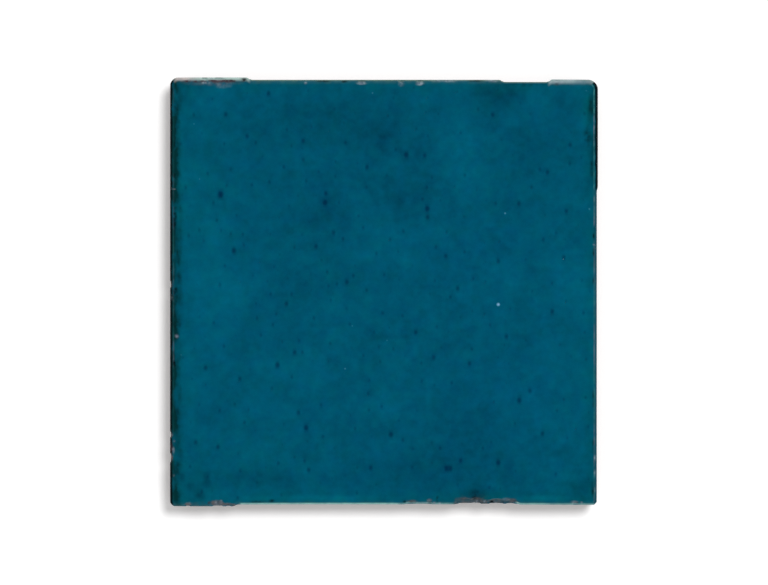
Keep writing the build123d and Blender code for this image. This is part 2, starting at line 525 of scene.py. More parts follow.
def square(name, half):
    """A flat square round the origin, in the scene."""
    corners = [(-half, -half, 0), (half, -half, 0), (half, half, 0), (-half, half, 0)]
    return put_in_scene(name, new_mesh(name, corners, (), [(0, 1, 2, 3)]))


sheet = square("sheet", half_side - RIM_WIDTH / 2)
strewn = strewing_tree().run(sheet, **FAINT_PITS, Material=glaze)
faint = np.column_stack([read_places(strewn)[:, :2], read_numbers(strewn, "pit_radius") / MM])
bpy.data.objects.remove(sheet)
plain = placed(PLAIN_PITS)
gaps = np.linalg.norm(faint[:, None, :2] - plain[None, :, :2], axis=2).min(axis=1)
pits = np.concatenate([plain, faint[gaps > PIT_CLEARANCE]])
blisters = placed(BLISTERS)
print("strewn", len(strewn.vertices), "faint pits, kept", len(pits) - len(plain))

# %% [markdown]
# Inside the rim, the face needs small faces round each pit and can have larger ones elsewhere. An
# even grid fine enough for the pits would be far too heavy, so the corners are chosen first and
# then joined: two rings that thin out the rim's columns, rings round each pit, and a honeycomb of
# points over the rest. Delaunay's rule joins them into the roundest triangles that there can be.

# %% Choose the corners of the face
NET_SPACING = 0.85  # mm
THINNING_RINGS = ((0.45, 2), (1.15, 3))  # mm in from the rim, and every how manieth column
NET_START = 1.5  # mm in from the rim, where the honeycomb begins
PIT_RINGS = ((0.0, 1), (0.5, 6), (1.0, 10), (1.8, 12))  # share of the radius, and corners on it
PIT_ROOM = 2.4  # share of its radius that a pit keeps clear of the honeycomb
CLEAR_OF_RIM = 0.2  # mm
WELL_INSIDE = 1.0  # mm in from the rim, beyond which no place needs a closer look

inner_edge = rim[-1]
every_mark = np.concatenate([pits, blisters])


def tree_of(places):
    """A tree that finds the nearest of some places on the face."""
    tree = KDTree(len(places))
    for index, place in enumerate(places):
        tree.insert((place[0], place[1], 0), index)
    tree.balance()
    return tree


def inside(places, margin):
    """The places that lie inside the rim's inner edge, by at least a margin."""
    edge = tree_of(inner_edge)
    middle = half_side - RIM_WIDTH - WELL_INSIDE
    kept = []
    for x, y in places:
        nearest, index, gap = edge.find((x, y, 0))
        step_in = -outward[index]
        within = (x - nearest.x) * step_in[0] + (y - nearest.y) * step_in[1] > 0
        if max(abs(x), abs(y)) < middle or (within and gap > margin):
            kept.append((x, y))
    return np.array(kept)


def ring_places(x, y, radius):
    """Corners on rings round a pit."""
    return [
        (x + radius * share * cos(2 * pi * step / count), y + radius * share * sin(2 * pi * step / count))
        for share, count in PIT_RINGS
        for step in range(count)
    ]


def honeycomb():
    """Points a spacing apart, in rows half a spacing out of step."""
    row_gap = NET_SPACING * sin(pi / 3)
    reach = round(half_side / NET_SPACING)
    return [
        ((column + row % 2 / 2) * NET_SPACING, row * row_gap)
        for row in range(-round(half_side / row_gap), round(half_side / row_gap) + 1)
        for column in range(-reach, reach + 1)
    ]


def clear_of_marks(places):
    """The places that lie in no mark's room."""
    gaps = np.linalg.norm(places[:, None, :] - every_mark[None, :, :2], axis=2)
    return places[(gaps > every_mark[:, 2] * PIT_ROOM).all(axis=1)]


thinned = np.concatenate([
    stand(RIM_WIDTH + further_in, 0)[::every, :2] for further_in, every in THINNING_RINGS
])
round_marks = [place for mark in every_mark for place in ring_places(*mark)]
net = np.concatenate([
    clear_of_marks(thinned),
    clear_of_marks(inside(honeycomb(), NET_START)),
    inside(round_marks, CLEAR_OF_RIM),
])
print("face has", len(net), "corners")

# %% Join them by Delaunay's rule
FILL_INSIDE = 1  # triangles within the edge that is given
CLOSE = 1e-4  # mm

flat = [Vector(place) for place in np.concatenate([inner_edge[:, :2], net])]
edge_loop = [(column, (column + 1) % columns) for column in range(columns)]
joined = delaunay_2d_cdt(flat, edge_loop, [], FILL_INSIDE, CLOSE)
net_places, net_faces, net_sources = joined[0], joined[2], joined[3]
print("face has", len(net_faces), "triangles")

# %% [markdown]
# The slice with the back, the rim's columns and the face's net are now sewn into one closed skin.
# Corners that two of them share are made once, so there is no seam to weld. A closed skin is
# checked by its edges: each has to have exactly two faces.

# %% Sew the skin together
CHIP_FULL = 0.3  # mm of depth at which a chip counts as wholly broken


def sew():
    """One mesh of the slice, the rim and the face, with each corner's inset and chip share."""
    grown = welded.copy()
    grown.verts.ensure_lookup_table()
    chip_layer = grown.verts.layers.float.new("chip")
    inset_layer = grown.verts.layers.float.new("inset")
    lower = [grown.verts[corner.index] for corner in cut_loop]
    for points, depths, insets in zip(rim, chip_depth, rim_inset):
        upper = [grown.verts.new(point * MM) for point in points]
        for corner, depth, inset in zip(upper, depths, insets):
            corner[chip_layer] = min(1.0, depth / CHIP_FULL)
            corner[inset_layer] = inset
        for column, (left, right) in enumerate(zip(lower, lower[1:] + lower[:1])):
            grown.faces.new((left, right, upper[(column + 1) % columns], upper[column]))
        lower = upper
    heights = face_height([place.x for place in net_places], [place.y for place in net_places])
    corners = []
    for place, height, sources in zip(net_places, heights, net_sources):
        shared = [source for source in sources if source < columns]
        if shared:
            corners.append(lower[shared[0]])
        else:
            corners.append(grown.verts.new(Vector((place.x, place.y, height)) * MM))
            corners[-1][inset_layer] = half_side - max(abs(place.x), abs(place.y))
    for face in net_faces:
        grown.faces.new([corners[index] for index in face])
    return grown


welded.verts.index_update()
skin = sew()
bmesh.ops.recalc_face_normals(skin, faces=skin.faces)
open_edges = [edge for edge in skin.edges if len(edge.link_faces) != 2]
mesh = bpy.data.meshes.new("skin")
skin.to_mesh(mesh)
print("skin", len(mesh.vertices), "corners,", len(open_edges), "open edges")
print("volume", round(skin.calc_volume() / MM**3 / 1000, 2), "cm3")

# %% [markdown]
# The skin still lacks its small relief. Pits and blisters could be modelled one by one, but each
# is the same dimple at another place, so one tree presses them all: for every corner of the skin it
# finds the nearest mark, works out how far inside the mark the corner lies and sinks it by that
# share. The share is also stored under a name, for the glaze's colour to read.

# %% Press the pits and the blisters
PIT_SINK = 0.16  # depth of a pit, as a share of its radius
BLISTER_SINK = -0.05  # a blister stands proud by this share of its radius
PIT_STRETCH = 1.5  # how much longer pits are along Y, the way the glaze ran
PIT_FLOOR = 0.2  # share of the radius within which a pit is at its deepest
FULL_TINT = 1.15 * MM  # radius from which a pit has its full colour


def pressing_tree():
    tree = GeometryTree(
        "press_marks", {"Marks": bpy.types.Object, "Sink": float, "Stretch": float, "Store as": str}
    )
    marks = tree.add("GeometryNodeObjectInfo", {}, {"Object": tree.given.other("Marks")}, "Geometry")
    place = tree.add("GeometryNodeInputPosition")
    nearest = tree.add(
        "GeometryNodeSampleNearest", {"domain": "POINT"}, {"Geometry": marks, "Sample Position": place}
    )
    mark_place = tree.sample(marks, nearest, place, "FLOAT_VECTOR")
    radius = tree.sample(marks, nearest, tree.number("pit_radius"))
    off_x, off_y, off_z = tree.parts(tree.vector("SUBTRACT", place, mark_place))
    off_y = off_y / tree.given.other("Stretch")
    stretched = tree.add("ShaderNodeCombineXYZ", {}, {"X": off_x, "Y": off_y, "Z": off_z})
    share = tree.fade(tree.vector("LENGTH", stretched, output="Value") / radius, 1.0, PIT_FLOOR)
    drop = tree.add(
        "ShaderNodeCombineXYZ", {}, {"Z": 0.0 - share * radius * tree.given.other("Sink")}
    )
    sunk = tree.add("GeometryNodeSetPosition", {}, {"Geometry": tree.given, "Offset": drop})
    tint = share * tree.fade(radius, 0.0, FULL_TINT)
    tree.end(tree.store(sunk, tree.given.other("Store as"), tint))
    return tree


def marks_object(marks):
    """Loose points on the face, each with its radius."""
    heights = face_height(marks[:, 0], marks[:, 1])
    mesh = new_mesh("marks", np.column_stack([marks[:, :2], heights]))
    radius = mesh.attributes.new("pit_radius", "FLOAT", "POINT")
    radius.data.foreach_set("value", marks[:, 2] * MM)
    return put_in_scene("marks", mesh)


def rework(thing, tree, **values):
    """Replace an object's mesh with what a tree makes of it."""
    old = thing.data
    thing.data = tree.run(thing, **values, Material=glaze)
    bpy.data.meshes.remove(old)


tile = put_in_scene("glazed_tile", mesh)
pressing = pressing_tree()
KINDS = ((pits, PIT_SINK, PIT_STRETCH, "pit"), (blisters, BLISTER_SINK, 1.0, "blister"))
for marks, sink, stretch, stored in KINDS:
    points = marks_object(marks)
    rework(tile, pressing, Marks=points, Sink=sink, Stretch=stretch, **{"Store as": stored})
    bpy.data.objects.remove(points)
    print(stored, "reaches", int((read_numbers(tile.data, stored) > 0).sum()), "corners")

# %% [markdown]
# A chip is where the arris was knocked off, and broken clay is grainy. The rim already drops to the
# floor of each chip, so the chips need only be roughened. A tree does that too: it pushes the skin
# inwards along its normals by two sizes of noise, as far as the chip is deep at that place. The
# same tree lays the glaze's ripple over the rest. Pushing only inwards keeps the skin inside the
# packed tile.

# %% Break the chips and ripple the glaze
CHIP_GRAIN = 0.45  # mm
CHIP_ROUGHNESS = 0.32 * MM
RIPPLE_DEPTH = 0.03 * MM
RIPPLE_WIDTH = 7.0  # mm
GLAZED_FROM = 9.0  # mm up, where the ripple begins


def store(mesh, name, numbers):
    """Give each corner of a mesh a named number."""
    stored = mesh.attributes.get(name) or mesh.attributes.new(name, "FLOAT", "POINT")
    stored.data.foreach_set("value", np.asarray(numbers, np.float32))


def breaking_tree():
    tree = GeometryTree(
        "break_chips",
        {"Grain": float, "Roughness": float, "Ripple": float, "Ripple width": float},
    )
    place = tree.add("GeometryNodeInputPosition")
    chip = tree.number("chip")
    height = tree.parts(place)[2] / MM
    glazed = tree.fade(height, GLAZED_FROM, GLAZED_FROM + ARRIS_RADIUS)
    coarse = tree.patches(place, tree.given.other("Grain"), 3.0)
    slow = tree.patches(place, tree.given.other("Ripple width"), 1.0)
    depth = (
        chip * coarse * tree.given.other("Roughness") + glazed * slow * tree.given.other("Ripple")
    )
    push = tree.add(
        "ShaderNodeVectorMath", {"operation": "SCALE"},
        {0: tree.add("GeometryNodeInputNormal"), "Scale": 0.0 - depth},
    )
    tree.end(tree.add("GeometryNodeSetPosition", {}, {"Geometry": tree.given, "Offset": push}))
    return tree


rework(
    tile, breaking_tree(), Grain=CHIP_GRAIN, Roughness=CHIP_ROUGHNESS, Ripple=RIPPLE_DEPTH,
    **{"Ripple width": RIPPLE_WIDTH},
)
print("skin now has", len(tile.data.polygons), "faces")

# %% [markdown]
# Some marks belong to one place on this tile: broad clouds where the glaze pooled or thinned, pale
# scuffs along the arris and dark burnt runs. They could be painted as pictures, but a picture has
# to be unwrapped and blurs close up. Here each mark is a soft oval, given by its middle, its half
# width and half length and how strong it is, and the sum at each corner is stored for the glaze.

# %% Lay down the marks that belong to one place
# X and Y of the middle, half size along X and along Y, all in mm, then the strength
CLOUDS = [
    (-40, 2, 10, 19, 1), (-39, 16, 6, 8, 0.5), (-44, 35, 6, 16, 0.4), (44, 0.5, 8, 13, 0.9),
    (19, 32, 9, 11, 0.9), (36, 20, 5, 7, 0.4), (7, 10, 20, 8, 0.35), (-4, 9.5, 4, 4, 0.6),
    (0.5, -26, 5, 5, 1.3), (-12, -4, 9, 6, 0.5), (-17, -16, 8, 7, 0.3), (-32, -36, 12, 6, 0.3),
    (40, -30, 8, 8, 0.3), (-38, 47.3, 4, 2.5, 0.8), (-16, -48.1, 24, 1.3, 1.6),
    (37, -48.1, 9, 1.2, 1.6), (-13, 41, 26, 11, -0.9), (-1, 37, 12, 8, -0.6), (9, 34, 8, 12, -0.5),
    (27, 46, 9, 6, -2), (31, 33, 13, 12, -0.5), (-19, 22, 13, 11, -0.6), (4, 22.5, 15, 9, -1),
    (25, 21, 14, 5, -0.4), (-15, 16.5, 7, 6, -0.4), (-8, 4.5, 6, 4, -0.5), (-21, -2, 7, 6, -0.4),
    (-1.5, -10.3, 8, 3, -0.9), (15, -12, 12, 8, -0.4), (18, -31, 20, 12, -0.75),
    (10, -43, 28, 10, -0.9), (31, -41, 14, 10, -0.5), (-31, -43.5, 24, 3.5, -0.9),
    (-44, -46, 6, 5, -0.5), (21.5, -47, 6, 4, -1.4), (46.5, -46.5, 5, 6, -1), (39, 23, 7, 9, -0.4),
    (35.6, 6, 6, 6, -0.35), (40, -9.5, 5, 5, -0.3), (-0.2, 35.6, 1.9, 4, -0.8),
    (0.9, 25.8, 2.1, 3, -1.1), (3.5, 20.2, 2.1, 3, -0.9), (9.3, 18.3, 2.8, 2.8, -0.7),
    (-46.5, 46, 3, 5, -0.9), (-6, 30, 11, 7, -0.5), (-30, 33, 8, 8, -0.4), (-12, 17, 9, 4, -0.4),
    (-47.3, -43.2, 1.6, 2.2, -1.4), (-45.6, -45.2, 2, 1.6, -1.4), (-41.4, -44, 1.5, 3.2, -1.6),
    (-42.9, -47.4, 2, 1.8, -1.5), (-48.2, 31, 2.2, 12, 1), (-45.2, -24, 4.5, 24, 0.5),
]
# Where the glaze is greener, or bluer if the strength is under nought
GREENER = [
    (-45, 22, 14, 34, 0.8), (-14, 40, 30, 12, 0.5), (-20, 12, 14, 9, 0.5), (-8, 3, 8, 9, 0.3),
    (-20, -14, 8, 6, 0.4), (-3, -18, 6, 6, 0.5), (-28, -41, 24, 13, 0.7), (46, 30, 8, 30, 0.4),
    (45, -30, 8, 30, 0.4), (27, 47, 9, 4, 1.6), (-46, -45, 8, 8, 1.4), (46, -46, 8, 8, 0.8),
    (-46.5, 46, 4, 6, 1.2), (22, 8, 20, 12, -0.6), (30, -25, 24, 20, -0.6), (5, 10, 8, 4, -0.4),
    (17, -37, 7, 8, -0.5), (25, -47.6, 8, 2.2, 1.5), (-45.2, -24, 4.5, 24, 0.6),
    (47.4, 43.5, 2, 6, 2.5),
]
PALE_SCUFFS = [
    (-5.2, 48.9, 1.6, 0.5, 0.9), (4.1, 48.7, 1.1, 0.8, 0.8), (8.4, 48.8, 1.3, 0.6, 1.2),
    (14.5, 49.5, 4.4, 0.5, 0.8), (25.3, 49.5, 2.2, 0.5, 0.8), (-42, 49, 0.8, 0.45, 1),
    (-40.8, 49, 0.7, 0.35, 0.6), (-37.8, 48.3, 2.4, 0.9, 0.3), (-36, 48.4, 0.8, 0.8, 0.3),
    (-40.4, 50, 0.6, 0.4, 0.8), (-18.3, 49, 0.5, 0.5, 0.8), (-49.7, -33.2, 0.5, 0.5, 0.9),
    (-49, -34.7, 0.4, 0.4, 0.9), (-49.2, -36.8, 0.4, 1.1, 0.7), (-49.7, -38.3, 0.5, 0.4, 0.9),
    (-49.6, -1.2, 0.4, 0.9, 0.6), (-49.8, 1.8, 0.4, 0.4, 0.9), (-49.2, -42.7, 0.4, 0.4, 0.7),
    (-49.2, 24.2, 0.7, 0.25, 0.8), (49.1, 11.2, 0.4, 0.35, 1.2), (44.5, -49, 1.3, 0.5, 0.6),
    (46.2, -49.1, 0.4, 0.4, 0.8), (7.3, -49, 1.1, 0.35, 0.3), (9.3, -49.2, 2, 0.35, 0.7),
    (10.6, -48.6, 0.8, 0.6, 0.45), (11.7, -49.2, 0.5, 0.4, 0.9), (13, -49.3, 0.5, 0.4, 0.9),
    (-45.6, -49.3, 1.2, 0.5, 0.4), (-38.4, -49.9, 3, 0.5, 0.5), (-39.3, -49.1, 0.5, 0.8, 1.3),
    (-38.1, -49, 0.5, 0.7, 1.4), (-39.5, 48.9, 9, 0.9, 0.15), (41.5, 49.1, 3.4, 0.9, 0.3),
    (21.7, -48.7, 0.4, 0.4, 0.9), (23.5, -48.8, 0.4, 0.4, 0.7), (28.6, -48.3, 1.4, 0.5, 0.7),
    (-48.4, -10.2, 0.6, 0.6, 1.2), (49.3, -38.6, 0.35, 0.9, 0.5), (49.3, -42, 0.35, 1.2, 0.4),
    (49.3, -46, 0.35, 1, 0.4),
]
DARK_RUNS = [
    (-39.6, 49.4, 9.5, 0.5, 0.9), (-45, 49.4, 3.6, 0.5, 0.8), (-37.2, 49.5, 4, 0.6, 0.7),
    (-32.8, 49.7, 1.5, 0.8, 0.9), (-14.3, 49.35, 2.4, 0.4, 0.8), (-9.2, 49.3, 1.1, 0.45, 1.1),
    (-5.4, 49.4, 1.8, 0.35, 0.7), (8.4, 49.6, 1, 0.4, 1.3), (21.1, 49.5, 2.4, 0.5, 0.9),
    (40.4, 48.9, 0.7, 0.4, 0.6), (33, 48.6, 7, 0.8, 0.35), (-39.6, 49.1, 9.5, 1.2, 0.5),
    (-41.5, -49.6, 8.5, 1.4, 0.25), (-49.6, -36.6, 0.5, 2.4, 0.9), (41.5, 48.6, 3.6, 0.4, 0.4),
    (-26.2, -48.7, 1.1, 0.6, 0.9), (4.8, -48.8, 0.5, 0.45, 1.3), (12.5, -48.2, 0.45, 1, 1),
    (-30, -48.9, 4, 0.5, 0.6), (21.4, -47.2, 2.2, 1.8, 0.6), (21, -48.1, 0.7, 0.7, 0.9),
    (25.2, -49, 0.7, 0.6, 1.2), (28.4, -49.1, 1.6, 0.5, 1), (-40.9, -49.2, 0.6, 0.9, 1),
    (22.6, -49.2, 0.5, 0.35, 0.8), (26.7, -49.2, 0.5, 0.35, 0.8), (-48.9, 17.4, 0.8, 5, 0.9),
    (-48.1, 7.3, 0.8, 2.2, 0.5), (-47.9, 3.3, 0.9, 3, 0.6), (-48.8, 0.5, 1, 2.4, 0.8),
    (-49.1, -7, 0.8, 3.4, 0.6), (-49, -16.6, 0.6, 1.2, 0.9), (-48.2, -29, 1.2, 3.2, 0.6),
    (-48.4, -41, 1.1, 2.6, 0.6), (-48.8, 34.6, 0.7, 1.2, 0.8), (-48.8, 27.7, 0.6, 1.4, 0.7),
    (-48.8, 43.8, 0.8, 2.4, 0.5), (48.3, 44, 0.9, 3.2, 0.5), (47.6, 36.5, 1.5, 3.4, 0.6),
    (48.6, 29, 0.7, 3.6, 0.7), (49, 13.3, 0.4, 2, 0.8), (49, 9.3, 0.4, 1.7, 0.8),
    (48.9, 2.8, 0.4, 1.4, 0.7), (48.9, -25, 0.4, 3.6, 0.6), (48.9, -36.5, 0.4, 3.6, 0.7),
    (48.8, -46, 0.6, 2.6, 0.8),
]
# Where the dark runs are brown and not black
BROWNED = [
    (-42, 49.5, 12, 2.4, 2), (-49.6, -36.4, 1.4, 3.8, 2), (8, -49, 3, 1.2, 1.5),
    (-42, -49.6, 9, 2.2, 1.5), (18, -48.8, 2.6, 1.6, 1),
]
# Where the glaze has flaked off round a chip
FLAKED = [
    (-39, -49.3, 2.4, 1.6, 1.3), (-36.4, -49.8, 3.6, 0.9, 1.2), (-45.9, -49.6, 1.6, 0.9, 0.8),
    (19.6, -48, 5, 2.2, 0.55), (23.4, -47.8, 3.6, 2.4, 0.45), (29, -48.4, 5, 1.4, 0.4),
    (6.4, -48.9, 2.4, 1, 1), (10.6, -48.7, 1.3, 1.1, 1), (18.2, -49.1, 3.4, 1.8, 1.1),
    (22, -48.9, 2.4, 1.2, 0.8), (25, -49.3, 3, 1.3, 0.8), (28.8, -49, 4.4, 1.4, 0.9),
    (44.8, -49.1, 1.6, 0.8, 0.9),
]


def soft_ovals(places, ovals):
    """At each place, the sum of some soft ovals."""
    total = np.zeros(len(places))
    for x, y, half_x, half_y, strength in ovals:
        off = np.hypot((places[:, 0] - x) / half_x, (places[:, 1] - y) / half_y)
        total += strength * smooth_share(off, 1.0, 0.0)
    return total


MARKS_END = (0.3, 0.5)  # mm below the face, between which the marks fade out down the arris

places = read_places(tile.data)
below_face = face_height(places[:, 0], places[:, 1]) - places[:, 2]
marked = np.maximum(smooth_share(below_face, *MARKS_END[::-1]), read_numbers(tile.data, "chip"))
OVALS = {
    "cloud": CLOUDS, "green": GREENER, "scuff": PALE_SCUFFS, "burn": DARK_RUNS, "brown": BROWNED,
    "flaked": FLAKED,
}
for name, ovals in OVALS.items():
    store(tile.data, name, soft_ovals(places, ovals) * marked)
    print(name, "from", len(ovals), "ovals")

# %% [markdown]
# Other marks follow an edge for a stretch: a pale hem where the glaze has thinned to nothing, a black
# hem of painted shade on the arris, a fine line of painted highlight beside that where the arris
# catches the lamp, and a band of thin glaze with a painted highlight along the top. How wide each is
# across the edge is left to the shader. Only how strong it is along the edge is stored, from a table
# of stretches with soft ends.

# %% Lay down the marks that follow an edge
# Side, where the stretch starts and ends along it, in mm, then the strength
PALE_HEM = [
    ("top", -48.9, -31.5, 1), ("top", 38.6, 44.8, 0.75), ("top", 44.8, 52, 0.4),
    ("bottom", -33.6, 3.5, 0.95), ("bottom", 3.5, 16.5, 0.5), ("bottom", 30.8, 38.6, 0.8),
    ("bottom", 38.6, 49, 0.5), ("bottom", -49, -34.2, 0.06),
]
# Where painted shade darkens the arris to near black: all along the left, on the upper right and at the
# top left corner
PAINTED_SHADE_HEM = [
    ("left", -52, 52, 1), ("right", 24.2, 52, 1), ("right", -52, 24.2, 0.3), ("top", -52, -49.2, 0.9),
]
# Where a fine line of painted highlight lies along the arris, strongest on the right, which faces the
# lamp
PAINTED_HIGHLIGHT_LINE = [
    ("right", 38, 49, 1.2), ("right", 24.2, 38, 0.8), ("right", 15.5, 22.5, 1), ("right", -8, 12, 0.45),
    ("right", -49, -8, 0.6), ("left", -49, 49, 0.15), ("left", -18, 20, 0.2),
]
# Where the glaze is thin, and along the top edge also a painted highlight where it faces the lamp
THIN_AND_HIGHLIGHT_BAND = [
    ("top", -52, 27.4, 0.9), ("top", 38.6, 52, 1), ("bottom", -52, 52, 0.35), ("right", -52, 24.2, 0.3),
]
SIDES = {"bottom": (1, -1), "top": (1, 1), "left": (0, -1), "right": (0, 1)}
STRETCH_END = 0.5  # mm over which a stretch fades in or out


def stretches(places, table):
    """At each place, how strong the marks are that follow the nearest edge."""
    total = np.zeros(len(places))
    for side, start, end, strength in table:
        across, sign = SIDES[side]
        along = places[:, 1 - across]
        beside = places[:, across] * sign > np.abs(along)
        starts, ends = (
            smooth_share(along, place - STRETCH_END, place + STRETCH_END) for place in (start, end)
        )
        total += strength * beside * (starts - ends)
    return total


HEMS = {"pale_hem": PALE_HEM, "black_hem": PAINTED_SHADE_HEM, "fine_line": PAINTED_HIGHLIGHT_LINE, "thin_band": THIN_AND_HIGHLIGHT_BAND}
for name, table in HEMS.items():
    store(tile.data, name, stretches(places, table) * marked)
    print(name, "along", len(table), "stretches")

# %% [markdown]
# The glaze is a glass, coloured petrol by its metal oxides. A real glass over clay would be slow to
# render and would be lost when the model is carried elsewhere, so one plain shader carries its
# colour, and what lies under the glass is worked out as colour too. Its gloss is a clear coat over
# that colour, which thins away on the very edge and is missing where the clay is bare. Cloudy noise
# of three sizes gives the pooling, a stretched noise the streaks along Y, and the stored numbers
# the rest.

# %% Name the colours of the glaze and the clay
PETROL = (0.0, 0.086, 0.148, 1)
DEEP = (0.0, 0.008, 0.045, 1)  # the glaze where it fills a pit
# Also the painted shade in the band along the left edge
BOTTLE = (0.001, 0.030, 0.034, 1)  # where it has run thick towards an edge
NEAR_BLACK = (0.001, 0.005, 0.007, 1)
BURNT_BROWN = (0.045, 0.028, 0.036, 1)
# Also the colour of the painted highlight along the top edge
THIN_AND_HIGHLIGHT = (0.20, 0.28, 0.15, 1)  # thin glaze, with the clay showing through it
MINT = (0.42, 0.57, 0.53, 1)  # the thinnest
LILAC = (0.17, 0.20, 0.27, 1)
CHALK = (0.36, 0.44, 0.50, 1)
AQUA = (0.05, 0.24, 0.25, 1)
JADE = (0.11, 0.38, 0.35, 1)  # thin glaze along the bottom edge
PALE_JADE = (0.33, 0.56, 0.54, 1)  # the same on the very edge
PINK = (0.53, 0.48, 0.47, 1)
PALE_BLUE = (0.26, 0.46, 0.72, 1)  # a large blister
PALE_TEAL = (0.06, 0.44, 0.64, 1)  # a small one
CLAY = (0.19, 0.145, 0.135, 1)
CLAY_DARK = (0.085, 0.066, 0.075, 1)
RAW_CLAY = (0.20, 0.152, 0.138, 1)  # clay that no glaze has reached
RAW_CLAY_DARK = (0.135, 0.102, 0.094, 1)
STAINED = (0.03, 0.06, 0.075, 1)  # clay that the glaze has soaked into
print("glaze", [round(share, 3) for share in PETROL[:3]])

# %% Start the shader
# Its lengths are in mm, and a pair of them is where something starts and where it is full
MOST_NOISE = (0.3, 0.7)  # most of the noise lies between these
shader = Nodes(glaze.node_tree)
fade, mix, patches = shader.fade, shader.mix, shader.patches
place = shader.add("ShaderNodeTexCoord", output="Object")
x_mm, y_mm, z_mm = (part / MM for part in shader.parts(place))


def stored(name):
    """A number that the skin carries at its corners."""
    return shader.add("ShaderNodeAttribute", {"attribute_name": name}, output="Fac")


def wobble(size, reach, detail=2.0):
    """Cloudy noise round nought, with patches of a size, that takes up so great a reach."""
    return (patches(place, size, detail) - 0.5) * reach


def tell(part):
    print("with", part, "the shader has", len(glaze.node_tree.nodes), "nodes")


tell("the place")

# %% Pool the glaze
EDGE_BAND = (4.5, 0.3)  # in from the edge
BLUE_LOSS = 0.1  # share of its blue that the glaze loses at the edge
CLOUD_STEP = 0.18  # how much lighter a cloud of strength 1 is
GREEN_STEP = 0.05  # how much greener a green mark of strength 1 is
GREEN_DEPTH = 1.15  # green darkens faster than blue where the glaze is thick
PIT_TINT = 0.85
inset = stored("inset")
near_edge = fade(inset, *EDGE_BAND)
tone = 1 + wobble(16, 0.15) + wobble(6, 0.4) + wobble(1.8, 0.5, 3) + stored("cloud") * CLOUD_STEP
hue = wobble(7, 0.08) + wobble(2.6, 0.22) + stored("green") * GREEN_STEP
green_share = (tone * GREEN_DEPTH - (GREEN_DEPTH - 1)) * (1 + hue * 0.5)
blue_share = tone * (1 - hue - near_edge * BLUE_LOSS)
tint = shader.add("ShaderNodeCombineXYZ", {}, {"X": tone, "Y": green_share, "Z": blue_share})
petrol = mix(stored("pit") * PIT_TINT, shader.vector("MULTIPLY", tint, PETROL[:3]), DEEP)
blister = stored("blister")  # 0.47 in the middle of the largest, and 0.12 in the smallest
petrol = mix(blister * (1.2 + blister * 2), petrol, mix(blister * 2.2, PALE_TEAL, PALE_BLUE))
tell("the pooled glaze")

# %% Darken the glaze towards the left and right edges, where it has run thick, and on the left also as painted shade
LEFT_BAND = (3.4, 0.2)  # in from the left edge
RIGHT_BAND = (3.2, 0.8)  # in from the right edge
RIGHT_BAND_UP = (20, 42)  # along Y
upright = shader.vector("MULTIPLY", place, (1, 0.4, 1))  # noise squeezed along Y makes streaks
mottle = fade(patches(upright, 2, 3), *MOST_NOISE)
# On the left, the side away from the lamp, this dark band is partly thick glaze and partly painted shade
left_pool_and_shade = fade(x_mm + wobble(1.5, 2, 3) + half_side, *LEFT_BAND)
near_right = fade(half_side - x_mm, *RIGHT_BAND) * fade(y_mm, *RIGHT_BAND_UP)
sheer = mix(left_pool_and_shade * (0.2 + mottle * 1.6), petrol, BOTTLE)
sheer = mix(near_right * (0.15 + mottle * 0.95), sheer, BOTTLE)
tell("the thick glaze")

# %% Mark out the top edge and the far sides
TOP_BAND = (2.4, 1.9)  # in from the top edge
TOP_LEFT = (-31, -33)  # along X, as are the next three
TOP_RIGHT = (36, 40)
FAR_RIGHT = (40, 48)
FAR_LEFT = (-42, -47)
at_top = fade(half_side - y_mm, *TOP_BAND)
at_left = fade(x_mm, *TOP_LEFT) * at_top
at_right = fade(x_mm, *TOP_RIGHT) * at_top
at_east = fade(x_mm, *FAR_RIGHT)
at_west = fade(x_mm, *FAR_LEFT)
broken = fade(patches(place, 1.3, 4), *MOST_NOISE)
tell("the parts of the tile")

# %% Thin the glaze towards the top edge, and paint a highlight along it
THIN_AND_HIGHLIGHT_REACH = 1.3  # in from the edge, and more at both ends of the top edge
THIN_AND_HIGHLIGHT_MORE = 0.6
TOP_HIGHLIGHT_LINE = (0.4, 0.15)
# Painted highlight along the top edge over the thin glaze, and a light line of painted highlight on its
# very edge
thin_band = stored("thin_band") * fade(inset, THIN_AND_HIGHLIGHT_REACH + (at_left + at_right) * THIN_AND_HIGHLIGHT_MORE, 0.1)
top_highlight_line = at_top * fade(inset, *TOP_HIGHLIGHT_LINE) * 0.3
sheer = mix(thin_band * (0.05 + broken * 0.14) + top_highlight_line, sheer, THIN_AND_HIGHLIGHT)
tell("the thin glaze")

# %% Draw the pale hem
VERY_EDGE = (0.45, 0.15)
UNDER_HEM = (0.95, 0.7)
hem_reach = 0.62 + at_top * 0.5 + at_right * 0.25
pale_hem = stored("pale_hem") * fade(inset / hem_reach, 1, 0.25)
hem_colour = mix(at_top, mix(fade(inset, *VERY_EDGE), JADE, PALE_JADE), mix(at_west, MINT, PINK))
hem_colour = mix(at_right * (0.3 + broken * 0.7), hem_colour, CHALK)
under_hem = stored("pale_hem") * (1 - at_top) * fade(inset, *UNDER_HEM)
sheer = mix(under_hem * broken * 0.1, sheer, BOTTLE)
sheer = mix(pale_hem * (0.8 + broken * 0.4), sheer, hem_colour)
tell("the pale hem")

# %% Draw the fine line of painted highlight and the hem of painted shade outside it
HIGHLIGHT_OUTSIDE = (0.2, 0.4)  # in from the end of the black hem
HIGHLIGHT_INSIDE = (0.7, 0.5)
SHADE_HEM_REACH = 0.58
SHADE_HEM_SOFT = 0.25
past_hem = inset - stored("black_hem") * (0.35 + at_east * 0.12)
